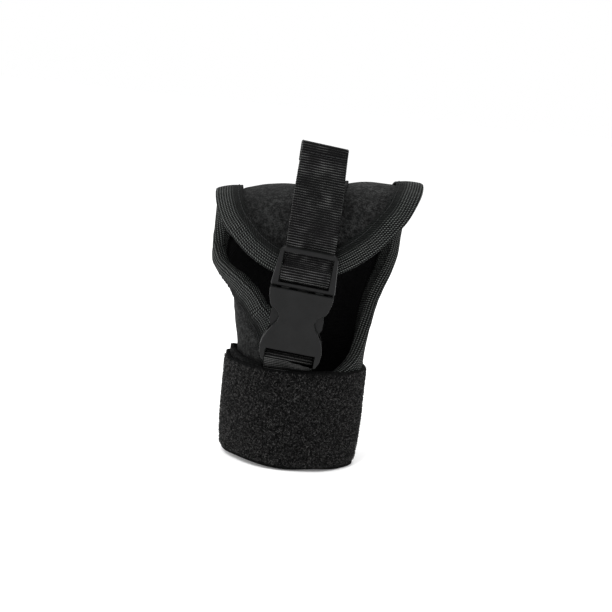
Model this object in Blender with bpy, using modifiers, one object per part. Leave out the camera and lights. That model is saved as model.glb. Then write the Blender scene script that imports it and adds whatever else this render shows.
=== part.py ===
# A finger-holding glove as it is worn on a closed fist: a padded panel up the back of the hand and
# over the knuckles, its bound edge, a pull strap with a side-release buckle, and a wrist strap.
# Metres, +Z from the wrist towards the knuckles, -Y the palm side, origin on the wrist's axis.
import math

import bmesh
import bpy
import numpy as np
from mathutils import Euler, Matrix, Vector

# Wrist and fist
WRIST_HALF_WIDTH = 0.0319
WRIST_HALF_DEPTH = 0.025
FIST_HALF_WIDTH = 0.0507
FIST_HEIGHT = 0.117
FIST_BACK = 0.0335
FIST_FRONT = 0.0335
FIST_SHIFT = 0.0019
FIST_TILT = math.radians(7.1)

# Panel and its bound edge
PANEL_WALL = 0.003
PANEL_LENGTH = 0.219
CROWN_SHARE = 0.708
CROWN_ANGLE = math.radians(72)
BINDING_WIDTH = 0.0115
BINDING_WALL = 0.0008
BINDING_GAP = 0.0005
BINDING_LIFT = 0.00065
BINDING_DROP = 0.004
HEM_INSET = 0.0134

# Wrist strap
STRAP_WIDTH = 0.0508
STRAP_WALL = 0.0016
STRAP_GAP = 0.0004
STRAP_CENTRE = 0.0011
STRAP_START = math.radians(28)
STRAP_TURN = math.radians(530)
STRAP_RISE = 0.0045
STRAP_TAPER = 0.0016

# Webbing
WEB_WIDTH = 0.024
WEB_WALL = 0.0014
WEB_GAP = 0.0005
TAIL_LENGTH = 0.0495
TAIL_TWIST = math.radians(20)
TAIL_DRIFT = 0.0024
TAIL_SLANT = math.radians(4.5)
TAIL_FALL = 0.24
TAIL_START_SLOPE = 0.17
SEWN_START = 0.593
SEWN_END = 0.88
SEWN_OFFSET = 0.0040
FREE_OFFSET = -0.0006
ANCHOR_WALL = 0.0012
ANCHOR_DEPTH = 0.024

# Buckle
BUCKLE_LEAN = math.radians(5.3)
BUCKLE_PITCH = math.radians(7.3)
BUCKLE_OUT = -0.0011
BUCKLE_FORWARD = 0.0388
BUCKLE_HEIGHT = 0.0685
FRAME_LENGTH = 0.0205
FRAME_THICKNESS = 0.005
OPENING_WIDTH = WEB_WIDTH + 0.0009
FRAME_TOP_WIDTH = OPENING_WIDTH + 2 * 0.00175
FRAME_END_WIDTH = OPENING_WIDTH + 2 * 0.00335
TOP_BAR = 0.0022
END_BAR = 0.0021
LADDER_BAR = 0.0034
LADDER_HEIGHT = 0.0075
SOCKET_LENGTH = 0.0375
SOCKET_THICKNESS = 0.0086
SOCKET_WIDTH = FRAME_END_WIDTH
SOCKET_WALL = 0.0016
SOCKET_GAP = 0.0004
SLOT_HEIGHT = 0.0042
SLOT_BAR = 0.0022
BAR_SET_BACK = 0.26

# Counts that set how finely the surfaces are divided
PANEL_ROWS = 42
PANEL_COLUMNS = 22
FLAP_ROWS = 12
FLAP_STEPS = 30
HEM_STEPS = 24
STRAP_STEPS = 68
SEWN_STEPS = 24
THREADED_STEPS = 30
TAIL_STEPS = 12
WEB_PLACES = np.array([-0.5, 0.0, 0.5])
STRAP_PLACES = np.array([-0.5, -0.3, 0.0, 0.5])

# The binding's fold: shares of its width on the outer face, of the panel's wall round the edge,
# and of its width on the inner face
OUTER_LEG = (1.0, 0.75, 0.5, 0.25, 0.0)
FOLD_DEPTHS = (0.1, 0.9)
INNER_LEG = (0.0, 0.3, 0.6)

# The panel's sections, from the hem up the back, over the crown and down to the flap's tip.
# along: share of the panel's length; back: share of the fist's back (or front, when negative);
# height: share of the fist's height; width: share of its half width; depth: share of the
# wrist's half depth; left, right: degrees that the section wraps round each side; fist: share
# of the fist's shift and tilt.
WRIST_SHARE = 0.643
SECTION_COLUMNS = ("along", "back", "height", "width", "depth", "left", "right", "fist")
SECTIONS = (
    (0.000, 0.700, -0.188, 0.605, 0.94, 176, 150, 0.00),
    (0.110, 0.746, 0.018, 0.643, 1.00, 175, 147, 0.00),
    (0.201, 0.750, 0.188, 0.643, 1.00, 172, 138, 0.00),
    (0.240, 0.765, 0.262, 0.645, 1.01, 164, 108, 0.04),
    (0.311, 0.854, 0.393, 0.705, 1.08, 143, 80, 0.35),
    (0.370, 0.934, 0.502, 0.791, 1.08, 128, 72, 0.65),
    (0.416, 0.979, 0.585, 0.900, 1.02, 120, 65, 0.85),
    (0.457, 1.000, 0.662, 0.975, 0.90, 110, 61, 1.00),
    (0.511, 0.985, 0.765, 1.000, 0.72, 97, 60, 1.00),
    (0.562, 0.866, 0.855, 1.010, 0.52, 85, 61, 1.00),
    (0.626, 0.582, 0.944, 1.030, 0.28, 76, 65, 1.00),
    (0.708, 0.090, 1.000, 1.052, 0.10, 72, 72, 1.00),
    (0.795, -0.500, 0.962, 1.052, 0.26, 72, 72, 1.00),
    (0.872, -0.880, 0.863, 1.052, 0.48, 72, 72, 1.00),
    (0.938, -0.985, 0.752, 1.052, 0.60, 72, 72, 1.00),
    (1.000, -1.000, 0.639, 1.052, 0.58, 72, 72, 1.00),
)

# The pull strap's way through the frame, seen from the side: shares of the frame's length up
# from the joint, and of its thickness towards the front.
THREADING_COLUMNS = ("up", "front")
THREADING = (
    (0.92, -0.74),
    (0.70, -0.74),
    (0.42, -0.73),
    (0.25, -0.60),
    (0.188, -0.28),
    (0.188, 0.14),
    (0.25, 0.44),
    (0.40, 0.55),
    (0.55, 0.42),
    (0.66, 0.02),
    (0.78, -0.26),
    (0.95, -0.29),
    (1.10, -0.28),
)

# Half of the socket's outline: share of its half width, share of its length down
SOCKET_COLUMNS = ("out", "down")
SOCKET_OUTLINE = (
    (0.96, 0.00),
    (1.00, 0.02),
    (0.97, 0.12),
    (0.90, 0.22),
    (0.845, 0.265),
    (0.72, 0.285),
    (0.60, 0.33),
    (0.556, 0.39),
    (0.60, 0.45),
    (0.70, 0.51),
    (0.83, 0.60),
    (0.93, 0.70),
    (0.975, 0.80),
    (0.95, 0.90),
    (0.87, 0.98),
    (0.82, 1.00),
)

# Half of the prong's outline: share of the socket's half width, share of its length up
PRONG_COLUMNS = ("out", "up")
PRONG_OUTLINE = (
    (0.66, 0.036),
    (0.66, -0.12),
    (0.76, -0.26),
    (0.835, -0.36),
    (0.835, -0.47),
    (0.74, -0.545),
    (0.60, -0.60),
    (0.52, -0.58),
    (0.56, -0.42),
    (0.46, -0.20),
    (0.40, 0.036),
)


def material(name, colour, roughness, metallic=0.0):
    """A plain Principled material."""
    made = bpy.data.materials.new(name)
    made.use_nodes = True
    shader = made.node_tree.nodes["Principled BSDF"]
    shader.inputs["Base Color"].default_value = (*colour, 1.0)
    shader.inputs["Roughness"].default_value = roughness
    shader.inputs["Metallic"].default_value = metallic
    return made


def smooth(x, xs, ys):
    """Cubic curve through the points of a table, with slopes from each row's neighbours."""
    xs, ys = np.asarray(xs, float), np.asarray(ys, float)
    slopes = np.gradient(ys, xs)
    i = np.clip(np.searchsorted(xs, x, side="right") - 1, 0, len(xs) - 2)
    span = xs[i + 1] - xs[i]
    t = np.clip((x - xs[i]) / span, 0, 1)
    rise = ys[i + 1] - ys[i]
    a, b = slopes[i] * span, slopes[i + 1] * span
    return ys[i] + t * a + t * t * (3 * rise - 2 * a - b) + t ** 3 * (a + b - 2 * rise)


def column(table, names, name):
    """One named column of a table."""
    return [row[names.index(name)] for row in table]


def section(along):
    """The panel's section at shares of its length: each named column, in metres and radians."""
    places = column(SECTIONS, SECTION_COLUMNS, "along")
    names = SECTION_COLUMNS[1:]
    read = {name: smooth(along, places, column(SECTIONS, SECTION_COLUMNS, name)) for name in names}
    read["back"] = read["back"] * np.where(read["back"] > 0, FIST_BACK, FIST_FRONT)
    read["height"] = read["height"] * FIST_HEIGHT
    narrow = np.clip(1 - read["fist"], 0, 1)
    wrist = WRIST_HALF_WIDTH / WRIST_SHARE
    read["width"] = read["width"] * (narrow * wrist + (1 - narrow) * FIST_HALF_WIDTH)
    read["depth"] = read["depth"] * WRIST_HALF_DEPTH
    read["left"] = np.radians(read["left"])
    read["right"] = np.radians(read["right"])
    return read


def panel_point(across, along):
    """A point of the panel's outer face. The spine runs up the back, over the crown and down the
    front; at each place on it an arc of an ellipse wraps to both sides, sunk along the spine's normal."""
    across, along = np.broadcast_arrays(np.asarray(across, float), np.asarray(along, float))
    read = section(along)
    step = 0.002
    before, after = section(np.clip(along - step, 0, 1)), section(np.clip(along + step, 0, 1))
    run_y = after["back"] - before["back"]
    run_z = after["height"] - before["height"]
    length = np.hypot(run_y, run_z)
    middle = (read["right"] - read["left"]) / 2
    turn = middle + across * (read["right"] + read["left"]) / 2
    out = read["width"] * np.sin(turn)
    sunk = read["depth"] * (1 - np.cos(turn))
    x = FIST_SHIFT * read["fist"] + out
    y = read["back"] - sunk * run_z / length
    z = read["height"] + sunk * run_y / length + math.tan(FIST_TILT) * read["fist"] * out
    return np.stack([x, y, z], axis=-1)


def panel_frame(across, along):
    """The outer face's point, its two slopes and its outward normal."""
    step = 0.003
    point = panel_point(across, along)
    slope_across = (panel_point(across + step, along) - panel_point(across - step, along)) / (2 * step)
    upper, lower = np.clip(along + step, 0, 1), np.clip(along - step, 0, 1)
    slope_along = (panel_point(across, upper) - panel_point(across, lower)) / (upper - lower)[..., None]
    normal = np.cross(slope_along, slope_across)
    normal /= np.linalg.norm(normal, axis=-1, keepdims=True)
    return point, slope_across, slope_along, normal


def across_at(share):
    """The place across the section of a share of the crown's half width."""
    return np.arcsin(np.clip(share, -1, 1) * math.sin(CROWN_ANGLE)) / CROWN_ANGLE


def panel_grid():
    """The panel's places, row by row: straight up to the crown, then a rounded end."""
    share = np.sin(np.linspace(-math.pi / 2, math.pi / 2, PANEL_COLUMNS + 1))
    body = np.linspace(0, CROWN_SHARE, PANEL_ROWS - FLAP_ROWS + 1)
    flap = np.linspace(0, 1, FLAP_ROWS + 1)[1:]
    rows_across = [np.tile(across_at(share), (len(body), 1))]
    rows_along = [np.tile(body[:, None], (1, len(share)))]
    u, v = np.meshgrid(share, flap)
    rows_across.append(across_at(u * np.sqrt(1 - v * v / 2)))
    rows_along.append(CROWN_SHARE + (1 - CROWN_SHARE) * v * np.sqrt(1 - u * u / 2))
    return np.concatenate(rows_across), np.concatenate(rows_along)


def outline_places():
    """Places along the panel's edge: up the left side, round the flap and down the right side."""
    side = np.linspace(0, CROWN_SHARE, PANEL_ROWS - FLAP_ROWS + 1)
    angle = np.linspace(math.pi, 0, FLAP_STEPS)[1:-1]
    across = np.concatenate([-np.ones(len(side)), across_at(np.cos(angle)), np.ones(len(side))])
    flap = CROWN_SHARE + (1 - CROWN_SHARE) * np.sin(angle)
    return across, np.concatenate([side, flap, side[::-1]])


def surface(name, points, collection, shade, loop=False):
    """An object from a grid of points, its faces wound from rows to columns."""
    rows, columns = points.shape[:2]
    index = np.arange(rows * columns).reshape(rows, columns)
    if loop:
        index = np.concatenate([index, index[:1]])
    faces = np.stack([index[:-1, :-1], index[1:, :-1], index[1:, 1:], index[:-1, 1:]], axis=-1)
    mesh = bpy.data.meshes.new(name)
    mesh.from_pydata(points.reshape(-1, 3).tolist(), [], faces.reshape(-1, 4).tolist())
    mesh.materials.append(shade)
    made = bpy.data.objects.new(name, mesh)
    collection.objects.link(made)
    return made


def thicken(made, wall, offset):
    """Gives an open surface its wall."""
    solid = made.modifiers.new("wall", "SOLIDIFY")
    solid.thickness = wall
    solid.offset = offset
    solid.use_even_offset = False
    return made


def raised(across, along, lift):
    """Points at a height over the panel's outer face."""
    point, _, _, normal = panel_frame(across, along)
    return point + normal * lift


def march_inward(across, along, distance, steps=4):
    """Moves places on the panel inward from its edge by a distance measured on its face."""
    point, _, _, normal = panel_frame(across, along)
    tangent = np.gradient(point, axis=0)
    inward = np.cross(normal, tangent)
    inward /= np.linalg.norm(inward, axis=-1, keepdims=True)
    for _ in range(steps):
        _, slope_u, slope_v, _ = panel_frame(across, along)
        uu = (slope_u * slope_u).sum(-1)
        vv = (slope_v * slope_v).sum(-1)
        uv = (slope_u * slope_v).sum(-1)
        du = (slope_u * inward).sum(-1)
        dv = (slope_v * inward).sum(-1)
        scale = distance / steps / (uu * vv - uv * uv)
        across = across + scale * (du * vv - dv * uv)
        along = np.clip(along + scale * (dv * uu - du * uv), 0, 1)
    return across, along, inward


def binding_profile(across, along):
    """The inner face of a tape folded over the panel's edge, as rows of points across the fold."""
    rows = []
    for share in OUTER_LEG:
        rows.append(raised(*march_inward(across, along, BINDING_WIDTH * share)[:2], BINDING_LIFT))
    _, _, inward = march_inward(across, along, 0.0, 1)
    for depth in FOLD_DEPTHS:
        rows.append(raised(across, along, -PANEL_WALL * depth) - inward * BINDING_GAP)
    for share in INNER_LEG:
        rows.append(raised(*march_inward(across, along, BINDING_WIDTH * share)[:2], -BINDING_DROP))
    return np.stack(rows, axis=1)


def buckle_matrix():
    """The buckle's place: up along its length, front towards the viewer of the palm."""
    turn = Euler((BUCKLE_PITCH, BUCKLE_LEAN, 0), "XYZ").to_matrix().to_4x4()
    place = Vector((BUCKLE_OUT, -BUCKLE_FORWARD, BUCKLE_HEIGHT))
    return Matrix.Translation(place) @ turn


def from_buckle(out, up, front):
    """Points given across, up and towards the front of the buckle, in the glove's frame."""
    local = np.stack(np.broadcast_arrays(out, -np.asarray(front), up), axis=-1)
    matrix = np.array(buckle_matrix())
    return local @ matrix[:3, :3].T + matrix[:3, 3]


def step_curve(x, start, end):
    """Rises smoothly from 0 to 1 between start and end."""
    t = np.clip((x - start) / (end - start), 0, 1)
    return t * t * (3 - 2 * t)


def resample(path, count):
    """The same path with evenly spaced points."""
    run = np.concatenate([[0], np.cumsum(np.linalg.norm(np.diff(path, axis=0), axis=1))])
    wanted = np.linspace(0, run[-1], count)
    return np.stack([np.interp(wanted, run, path[:, k]) for k in range(path.shape[1])], axis=1)


def make_panel(collection, shade):
    across, along = panel_grid()
    made = surface("glove_body", panel_point(across, along), collection, shade)
    return thicken(made, PANEL_WALL, -1)


def make_bindings(collection, shade):
    across, along = outline_places()
    made = surface("edge_binding", binding_profile(across, along)[:, ::-1], collection, shade)
    thicken(made, BINDING_WALL, 1)
    low = section(np.zeros(1))
    half_girth = (low["left"] + low["right"])[0] / 2 * (WRIST_HALF_WIDTH + WRIST_HALF_DEPTH) / 2
    inset = HEM_INSET / half_girth
    hem = np.linspace(1 - inset, -1 + inset, HEM_STEPS)
    made = surface("hem_binding", binding_profile(hem, np.zeros(len(hem)))[:, ::-1], collection, shade)
    thicken(made, BINDING_WALL, 1)


def strap_bulge(angle):
    """How far the wrist strap stands out at the front, over the anchor webbing."""
    stack = 2 * ANCHOR_WALL + 2 * WEB_GAP
    return stack * np.exp(-((np.sin(angle / 2) / math.sin(math.radians(21))) ** 4))


def make_wrist_strap(collection, shade):
    """A band wound once and a half round the wrist, its inner turn a little higher."""
    angle = np.linspace(STRAP_START, STRAP_START + STRAP_TURN, STRAP_STEPS)
    turns = step_curve(angle, 2 * math.pi + STRAP_START - math.radians(40), 2 * math.pi + STRAP_START)
    clear = BINDING_WALL + 2 * BINDING_GAP + STRAP_WALL / 2
    offset = clear + turns * (STRAP_WALL + STRAP_GAP) + strap_bulge(angle)
    left = np.exp(-((angle - math.radians(80)) / math.radians(38)) ** 2)
    middle = STRAP_CENTRE + STRAP_RISE * left
    across = STRAP_PLACES[None, :]
    out = offset[:, None] - STRAP_TAPER * np.clip(-2 * across, 0, 1) ** 2
    x = -(WRIST_HALF_WIDTH + out) * np.sin(angle)[:, None]
    y = -(WRIST_HALF_DEPTH + out) * np.cos(angle)[:, None]
    points = np.stack([x, y, middle[:, None] + STRAP_WIDTH * across], axis=-1)
    return thicken(surface("wrist_strap", points, collection, shade), STRAP_WALL, 0)


def sewn_run(count):
    """The strap's sewn run on the panel, from its end behind the crown down the flap's middle."""
    along = np.linspace(SEWN_START, SEWN_END, count)[:, None]
    across = WEB_PLACES[None, :]
    middle = np.interp(along, (SEWN_START, SEWN_END), (SEWN_OFFSET, FREE_OFFSET)) / FIST_HALF_WIDTH
    place = middle + across * WEB_WIDTH / FIST_HALF_WIDTH
    slant = across * WEB_WIDTH * math.sin(FIST_TILT + BUCKLE_LEAN) / PANEL_LENGTH
    point, _, _, normal = panel_frame(across_at(place), along + slant)
    return point + normal * (WEB_GAP + WEB_WALL / 2)


def make_pull_strap(collection, shade):
    """One webbing: sewn on the flap, down behind the frame, round the ladder bar and up as a tail."""
    across = WEB_PLACES
    sewn = sewn_run(SEWN_STEPS)
    up = np.array(column(THREADING, THREADING_COLUMNS, "up")) * FRAME_LENGTH
    front = np.array(column(THREADING, THREADING_COLUMNS, "front")) * FRAME_THICKNESS
    key = np.linspace(0, 1, len(up))
    fine = np.linspace(0, 1, 8 * THREADED_STEPS)
    path = resample(np.stack([smooth(fine, key, up), smooth(fine, key, front)], axis=1), THREADED_STEPS)
    threaded = from_buckle(across[None, :] * WEB_WIDTH, path[:, :1], path[:, 1:])
    rise = np.linspace(0, 1, TAIL_STEPS)[1:, None]
    turn = TAIL_TWIST * step_curve(rise, 0.2, 1.0)
    place = WEB_WIDTH * across[None, :]
    up_tail = path[-1, 0] + (TAIL_LENGTH - place * math.tan(TAIL_SLANT)) * rise
    fall = TAIL_LENGTH * TAIL_FALL * rise * (TAIL_START_SLOPE + (1 - TAIL_START_SLOPE) * rise)
    front_tail = path[-1, 1] - fall - place * np.sin(turn)
    tail = from_buckle(place * np.cos(turn) - TAIL_DRIFT * rise, up_tail, front_tail)
    points = np.concatenate([sewn, threaded, tail])
    return thicken(surface("pull_strap", points, collection, shade), WEB_WALL, 0)


def make_anchor(collection, shade):
    """Webbing from under the wrist strap up to the socket's bar, over it and back down behind."""
    across = np.linspace(-0.5, 0.5, 5)
    wall, bar_low = ANCHOR_WALL, -SOCKET_LENGTH
    bar_front = -BAR_SET_BACK * SOCKET_THICKNESS
    bar_back = -0.5 * SOCKET_THICKNESS
    clear = 1.6 * WEB_GAP + wall / 2
    middle_up = bar_low + SLOT_BAR / 2
    ring = np.linspace(-2.0, 2.0, 9)
    round_up = middle_up + (SLOT_BAR / 2 + clear) * np.cos(ring)
    mid_front = (bar_front + bar_back) / 2
    round_front = mid_front - ((bar_front - bar_back) / 2 + clear) * np.sin(ring)
    wrapped = from_buckle(across[None, :] * WEB_WIDTH, round_up[:, None], round_front[:, None])
    top = STRAP_CENTRE + STRAP_WIDTH / 2
    deep = np.linspace(1, 0, 7)[:, None]
    legs = []
    for layer, depth in ((1, ANCHOR_DEPTH), (0, ANCHOR_DEPTH * 0.6)):
        height = top + WEB_GAP - depth * deep
        lift = BINDING_WALL + 2 * BINDING_GAP + wall / 2 + layer * (wall + WEB_GAP)
        offset = from_buckle(0.0, bar_low, 0.0)[0]
        x = offset + across[None, :] * WEB_WIDTH + 0 * height
        share = np.clip(x / (WRIST_HALF_WIDTH + lift), -1, 1)
        y = -(WRIST_HALF_DEPTH + lift) * np.sqrt(1 - share * share)
        legs.append(np.stack([x, y, height + 0 * x], axis=-1))
    points = np.concatenate([legs[0], wrapped, legs[1][::-1]])
    return thicken(surface("anchor_loop", points, collection, shade), wall, 0)


def on_buckle(name, mesh, collection):
    """An object for a mesh that is modelled in the buckle's own axes."""
    made = bpy.data.objects.new(name, mesh)
    collection.objects.link(made)
    made.matrix_world = buckle_matrix()
    return made


def outline_prism(name, outline, thickness, collection):
    """A flat outline given a thickness, as a mesh; outline points are across and up the buckle."""
    curve = bpy.data.curves.new(name, "CURVE")
    curve.dimensions = "2D"
    curve.fill_mode = "BOTH"
    curve.extrude = thickness / 2
    line = curve.splines.new("POLY")
    line.points.add(len(outline) - 1)
    for spot, (out, up) in zip(line.points, outline):
        spot.co = (out, up, 0, 1)
    line.use_cyclic_u = True
    flat = bpy.data.objects.new(name + "_curve", curve)
    collection.objects.link(flat)
    flat.rotation_euler = (math.pi / 2, 0, 0)
    bpy.context.view_layer.update()
    mesh = bpy.data.meshes.new_from_object(flat.evaluated_get(bpy.context.evaluated_depsgraph_get()))
    mesh.transform(flat.matrix_world)
    bpy.data.objects.remove(flat)
    cleaned = bmesh.new()
    cleaned.from_mesh(mesh)
    bmesh.ops.remove_doubles(cleaned, verts=cleaned.verts, dist=0.00001)
    bmesh.ops.recalc_face_normals(cleaned, faces=cleaned.faces)
    cleaned.to_mesh(mesh)
    cleaned.free()
    return on_buckle(name, mesh, collection)


def box(name, low, high, collection):
    """A box between two corners given across, depth and up."""
    mesh = bpy.data.meshes.new(name)
    work = bmesh.new()
    bmesh.ops.create_cube(work, size=1.0)
    low, high = Vector(low), Vector(high)
    size = high - low
    for corner in work.verts:
        corner.co = Vector(c * s for c, s in zip(corner.co, size)) + (low + high) / 2
    work.to_mesh(mesh)
    work.free()
    return on_buckle(name, mesh, collection)


def rod(name, radius, height, width, collection, depth=0.0, squash=1.0):
    """A bar across the buckle at a height up it."""
    mesh = bpy.data.meshes.new(name)
    work = bmesh.new()
    bmesh.ops.create_cone(work, cap_ends=True, segments=16, radius1=radius, radius2=radius, depth=width)
    work.transform(Matrix.Rotation(math.pi / 2, 4, "Y"))
    work.transform(Matrix.Diagonal((1, squash, 1, 1)))
    work.transform(Matrix.Translation((0, depth, height)))
    work.to_mesh(mesh)
    work.free()
    return on_buckle(name, mesh, collection)


def combine(made, other, operation):
    """Joins or cuts with another object, which stays as a guide."""
    joined = made.modifiers.new(other.name, "BOOLEAN")
    joined.operation = operation
    joined.object = other
    joined.solver = "EXACT"
    other.hide_render = True
    other.display_type = "WIRE"


def round_edges(made, width, segments=2):
    """Small rounded edges."""
    bevel = made.modifiers.new("rounded", "BEVEL")
    bevel.width = width
    bevel.segments = segments
    bevel.limit_method = "ANGLE"
    bevel.angle_limit = math.radians(35)


def finish(made, shade):
    """Gives a buckle piece its plastic."""
    made.data.materials.clear()
    made.data.materials.append(shade)


def make_frame(collection, cutters, shade):
    """The ladder frame with its bars, and two prongs and a guide that reach into the socket."""
    half_end, half_top = FRAME_END_WIDTH / 2, FRAME_TOP_WIDTH / 2
    corner = 0.12 * half_top
    low = SOCKET_GAP
    outline = (
        (-half_end, low), (half_end, low), (half_end, low + corner),
        (half_top, FRAME_LENGTH - corner), (half_top - corner, FRAME_LENGTH),
        (-half_top + corner, FRAME_LENGTH), (-half_top, FRAME_LENGTH - corner), (-half_end, low + corner),
    )
    frame = outline_prism("buckle_frame", outline, FRAME_THICKNESS, collection)
    round_edges(frame, 0.16 * FRAME_THICKNESS)
    half_open = OPENING_WIDTH / 2
    opening = box(
        "frame_opening",
        (-half_open, -FRAME_THICKNESS, low + END_BAR),
        (half_open, FRAME_THICKNESS, FRAME_LENGTH - TOP_BAR),
        cutters,
    )
    combine(frame, opening, "DIFFERENCE")
    behind = box(
        "frame_top_relief",
        (-half_open, -0.02 * FRAME_THICKNESS, FRAME_LENGTH / 2),
        (half_open, FRAME_THICKNESS, FRAME_LENGTH * 1.2),
        cutters,
    )
    combine(frame, behind, "DIFFERENCE")
    bar = rod("ladder_bar", LADDER_BAR / 2, LADDER_HEIGHT, OPENING_WIDTH + 0.001, cutters, squash=0.62)
    combine(frame, bar, "UNION")
    reach = 0.62 * SOCKET_LENGTH
    thick = SOCKET_THICKNESS / 2 - SOCKET_WALL - SOCKET_GAP
    for side in (-1, 1):
        points = [(side * out * SOCKET_WIDTH / 2, up * SOCKET_LENGTH) for out, up in PRONG_OUTLINE]
        arm = outline_prism(f"prong_{side}", points, thick * 2, cutters)
        combine(frame, arm, "UNION")
    guide = box(
        "guide", (-0.0022, -thick * 0.8, -reach * 0.9), (0.0022, thick * 0.8, low + END_BAR / 2), cutters
    )
    combine(frame, guide, "UNION")
    finish(frame, shade)
    return frame


def make_socket(collection, cutters, shade):
    """The socket: waisted shell open at its mouth and sides, with a slot and bar at its foot."""
    half, length = SOCKET_WIDTH / 2, SOCKET_LENGTH
    right = [(out * half, -down * length) for out, down in SOCKET_OUTLINE]
    left = [(-out, up) for out, up in reversed(right)]
    socket = outline_prism("buckle_socket", left + right, SOCKET_THICKNESS, collection)
    round_edges(socket, 0.17 * SOCKET_THICKNESS, 3)
    inner = SOCKET_THICKNESS / 2 - SOCKET_WALL
    cavity = box("mouth", (-0.80 * half, -inner, -0.66 * length), (0.80 * half, inner, length * 0.1), cutters)
    combine(socket, cavity, "DIFFERENCE")
    window = box(
        "side_windows", (-half * 1.1, -inner, -0.62 * length), (half * 1.1, inner, -0.27 * length), cutters
    )
    combine(socket, window, "DIFFERENCE")
    slot_low = -length + SLOT_BAR
    half_slot = OPENING_WIDTH / 2
    slot = box(
        "slot",
        (-half_slot, -SOCKET_THICKNESS, slot_low),
        (half_slot, SOCKET_THICKNESS, slot_low + SLOT_HEIGHT),
        cutters,
    )
    combine(socket, slot, "DIFFERENCE")
    front = box(
        "bar_front",
        (-half_slot, -SOCKET_THICKNESS, -length * 1.1),
        (half_slot, BAR_SET_BACK * SOCKET_THICKNESS, slot_low + SLOT_HEIGHT / 2),
        cutters,
    )
    combine(socket, front, "DIFFERENCE")
    finish(socket, shade)
    return socket


def main():
    for old in list(bpy.data.objects):
        bpy.data.objects.remove(old)
    scene = bpy.context.scene
    glove = bpy.data.collections.new("finger_holding_glove")
    cutters = bpy.data.collections.new("cutters")
    scene.collection.children.link(glove)
    scene.collection.children.link(cutters)
    cloth = material("charcoal_cloth", (0.022, 0.022, 0.024), 0.9)
    tape = material("binding_tape", (0.012, 0.014, 0.013), 0.8)
    pile = material("loop_pile", (0.014, 0.014, 0.015), 0.95)
    webbing = material("ribbed_webbing", (0.013, 0.013, 0.014), 0.75)
    plastic = material("black_plastic", (0.03, 0.031, 0.032), 0.4)
    make_panel(glove, cloth)
    make_bindings(glove, tape)
    make_wrist_strap(glove, pile)
    make_pull_strap(glove, webbing)
    make_anchor(glove, webbing)
    make_frame(glove, cutters, plastic)
    make_socket(glove, cutters, plastic)


main()
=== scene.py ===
# %% [markdown]
# # A finger-holding glove, as it is worn on a closed fist
# The glove is a padded panel that comes up the back of the hand, over the knuckles and down the
# front. A tape binds its edge, a ribbed webbing strap pulls it down to a side-release buckle, and a
# loop-pile strap holds it round the wrist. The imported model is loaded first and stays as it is:
# every finer piece is worked out from the same named sizes, so it lands where its solid is.

import math

import bmesh
import bpy
import numpy as np
from mathutils import Euler, Matrix, Vector


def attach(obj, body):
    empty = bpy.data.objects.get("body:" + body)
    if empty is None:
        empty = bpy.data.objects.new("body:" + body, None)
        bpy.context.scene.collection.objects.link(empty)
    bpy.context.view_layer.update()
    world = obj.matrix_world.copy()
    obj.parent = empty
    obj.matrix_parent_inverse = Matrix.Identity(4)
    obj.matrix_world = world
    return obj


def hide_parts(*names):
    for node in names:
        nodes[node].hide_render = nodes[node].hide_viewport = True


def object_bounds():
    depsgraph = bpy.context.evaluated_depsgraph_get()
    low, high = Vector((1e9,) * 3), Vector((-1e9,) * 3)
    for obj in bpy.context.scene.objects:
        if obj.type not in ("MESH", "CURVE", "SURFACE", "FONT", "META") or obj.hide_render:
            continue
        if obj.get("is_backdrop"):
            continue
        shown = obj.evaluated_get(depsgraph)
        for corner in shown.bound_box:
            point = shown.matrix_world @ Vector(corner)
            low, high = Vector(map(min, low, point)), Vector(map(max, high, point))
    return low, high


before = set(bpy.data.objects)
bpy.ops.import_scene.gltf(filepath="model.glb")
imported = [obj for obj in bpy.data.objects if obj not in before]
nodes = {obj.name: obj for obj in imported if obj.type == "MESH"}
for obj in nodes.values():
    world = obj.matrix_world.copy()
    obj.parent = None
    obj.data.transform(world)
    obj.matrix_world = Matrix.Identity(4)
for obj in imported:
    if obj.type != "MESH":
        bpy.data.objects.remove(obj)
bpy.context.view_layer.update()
print("nodes:", sorted(nodes))

# %% [markdown]
# ## The sizes of the real glove
# These are the sizes of the solids, in metres, so that a surface worked out from them lands where
# its solid is. Four things are the scene's own: the pull strap's tail stops 3.4 mm sooner and turns
# back, the wrist strap's lower left edge is lifted, the webbing dips sooner behind the frame's upper
# bar, and the webbing has its ribs.

# %% Named sizes
WRIST_HALF_WIDTH = 0.0319
WRIST_HALF_DEPTH = 0.025
FIST_HALF_WIDTH = 0.0507
FIST_HEIGHT = 0.117
FIST_BACK = 0.0335
FIST_SHIFT = 0.0019
FIST_TILT = math.radians(7.1)
PANEL_WALL = 0.003
PANEL_LENGTH = 0.219
CROWN_SHARE = 0.708
CROWN_ANGLE = math.radians(72)
BINDING_WIDTH = 0.0115
BINDING_WALL = 0.0008
BINDING_GAP = 0.0005
BINDING_LIFT = 0.00065
BINDING_DROP = 0.004
HEM_INSET = 0.0134
STRAP_WIDTH = 0.0508
STRAP_WALL = 0.0016
STRAP_GAP = 0.0004
STRAP_CENTRE = 0.0011
STRAP_START = math.radians(28)
STRAP_TURN = math.radians(530)
STRAP_RISE = 0.0045
STRAP_TAPER = 0.0016
STRAP_CORNER = 0.0022
WEB_WIDTH = 0.024
WEB_WALL = 0.0014
WEB_GAP = 0.0005
TAIL_LENGTH = 0.0495
TIP_BEND = 0.0034
TAIL_TWIST = math.radians(20)
TAIL_DRIFT = 0.0024
TAIL_SLANT = math.radians(4.5)
TAIL_FALL, TAIL_START_SLOPE = 0.24, 0.17
SEWN_START, SEWN_END = 0.593, 0.88
SEWN_OFFSET, FREE_OFFSET = 0.0040, -0.0006
ANCHOR_WALL = 0.0012
ANCHOR_DEPTH = 0.024
BUCKLE_LEAN = math.radians(5.3)
BUCKLE_PITCH = math.radians(7.3)
BUCKLE_CENTRE = Vector((-0.0011, -0.0388, 0.0685))
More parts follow.
